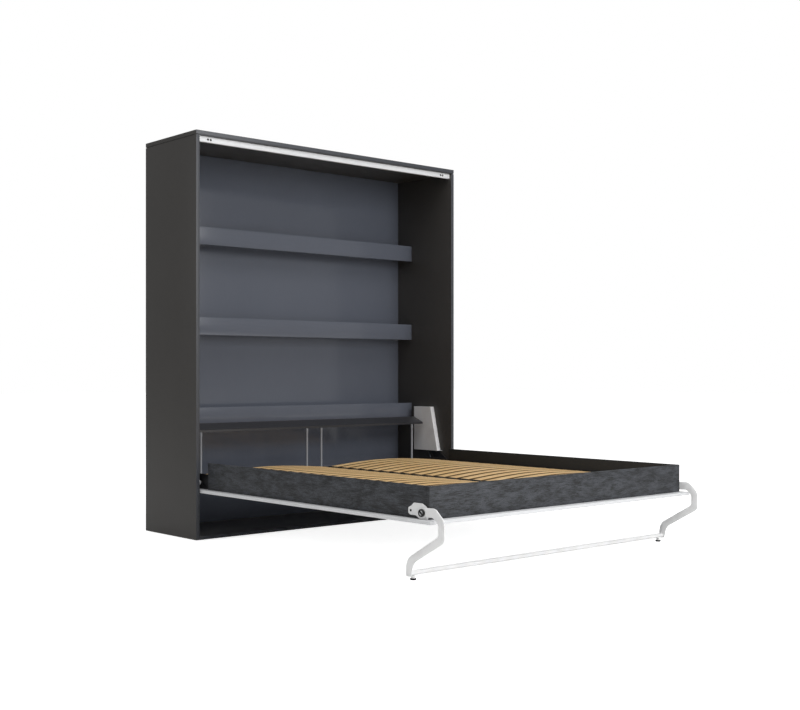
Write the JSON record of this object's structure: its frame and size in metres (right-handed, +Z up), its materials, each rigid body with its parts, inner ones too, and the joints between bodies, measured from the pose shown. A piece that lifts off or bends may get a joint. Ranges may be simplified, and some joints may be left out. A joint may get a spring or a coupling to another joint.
{
  "type": "murphy wall bed",
  "caption": "Vertical murphy wall bed: shallow open cabinet, fold-down slatted bed box with door panel, sloping mattress stop and folding U-shaped leg.",
  "frame": {"origin": "on the floor, in the middle of the opened bed's bounding box", "axes": "+X to the right across the bed, +Y from the foot end towards the wall, +Z up"},
  "size_m": [1.965, 2.267, 2.178],
  "materials": {
    "graphite_laminate": "matt graphite melamine on chipboard",
    "grey_laminate": "matt grey melamine on chipboard",
    "slate_laminate": "dark slate-look melamine on chipboard",
    "white_laminate": "white melamine on chipboard",
    "dark_laminate": "near-black melamine on chipboard",
    "beech": "lacquered laminated beech",
    "white_steel": "white powder coat",
    "grey_steel": "light grey powder coat",
    "black_steel": "black powder coat",
    "zinc_steel": "zinc-plated steel",
    "white_plastic": "moulded white plastic",
    "black_plastic": "moulded black plastic",
    "rubber": "matt black rubber"
  },
  "bodies": {
    "cabinet": {"side_panel_left": "graphite_laminate", "side_panel_right": "graphite_laminate", "top_panel": "graphite_laminate", "bottom_panel": "graphite_laminate", "back_panel": "grey_laminate", "rail_upper": "grey_laminate", "rail_middle": "grey_laminate", "rail_lower": "grey_laminate", "front_strip": "white_laminate", "strip_screw_left_inner": "black_steel", "strip_screw_left_outer": "black_steel", "strip_screw_right_inner": "black_steel", "strip_screw_right_outer": "black_steel", "glide_front_1": "black_plastic", "glide_front_2": "black_plastic", "glide_front_3": "black_plastic", "glide_front_4": "black_plastic", "glide_rear_1": "black_plastic", "glide_rear_2": "black_plastic", "wall_bracket_left": "zinc_steel", "wall_bracket_right": "zinc_steel", "side_cap_left": "white_plastic", "side_cap_right": "white_plastic", "mechanism_plate_left": "black_steel", "mechanism_plate_right": "black_steel", "axle_bush_left": "grey_steel", "axle_bush_right": "grey_steel", "mechanism_cover_left": "grey_steel", "mechanism_cover_right": "grey_steel"},
    "bed": {"door_panel": "white_laminate", "foot_board": "slate_laminate", "bed_side_left": "slate_laminate", "bed_side_right": "slate_laminate", "bed_rail_left": "black_steel", "bed_rail_right": "black_steel", "centre_beam": "black_steel", "head_crossbar": "black_steel", "slat_bank_left": "beech", "slat_bank_right": "beech", "hinge_plate_left": "black_steel", "hinge_plate_right": "black_steel", "head_post_left_outer": "grey_steel", "head_post_left_inner": "grey_steel", "head_post_right_outer": "grey_steel", "head_post_right_inner": "grey_steel", "head_board": "dark_laminate", "leg_plate_left": "white_steel", "leg_plate_right": "white_steel", "leg_bolt_left": "black_plastic", "leg_bolt_right": "black_plastic"},
    "leg": {"leg_arm_left": "white_steel", "leg_arm_right": "white_steel", "leg_crossbar": "white_steel", "leg_foot_left": "rubber", "leg_foot_right": "rubber"},
    "spring_body_left": {"gas_cylinder_left": "black_steel"},
    "spring_body_right": {"gas_cylinder_right": "black_steel"},
    "spring_rod_left": {"gas_rod_left": "zinc_steel"},
    "spring_rod_right": {"gas_rod_right": "zinc_steel"}
  },
  "joints": [
    {"name": "bed_fold", "type": "hinge", "parent": "cabinet", "child": "bed", "pos_m": [0, 0.6795, 0.305], "axis": [-1, 0, 0], "range_deg": [0, 90]},
    {"name": "leg_fold", "type": "hinge", "parent": "bed", "child": "leg", "pos_m": [0, -1.0045, 0.2985], "axis": [-1, 0, 0], "range_deg": [0, 180]},
    {"name": "spring_tilt_left", "type": "hinge", "parent": "cabinet", "child": "spring_body_left", "pos_m": [-0.942, 0.8905, 0.612], "axis": [-1, 0, 0], "range_deg": [0, 3.43]},
    {"name": "spring_tilt_right", "type": "hinge", "parent": "cabinet", "child": "spring_body_right", "pos_m": [0.942, 0.8905, 0.612], "axis": [-1, 0, 0], "range_deg": [0, 3.43]},
    {"name": "spring_stroke_left", "type": "slide", "parent": "spring_body_left", "child": "spring_rod_left", "axis": [0, -0.3337, -0.9427], "range_m": [0, 0.1665]},
    {"name": "spring_stroke_right", "type": "slide", "parent": "spring_body_right", "child": "spring_rod_right", "axis": [0, -0.3337, -0.9427], "range_m": [0, 0.1665]}
  ],
  "couplings": [
    {"joint": "spring_tilt_left", "follows": "bed_fold", "ratio": 0.038045},
    {"joint": "spring_tilt_right", "follows": "bed_fold", "ratio": 0.038045},
    {"joint": "spring_stroke_left", "follows": "bed_fold", "m_per_rad": 0.10595},
    {"joint": "spring_stroke_right", "follows": "bed_fold", "m_per_rad": 0.10595}
  ]
}
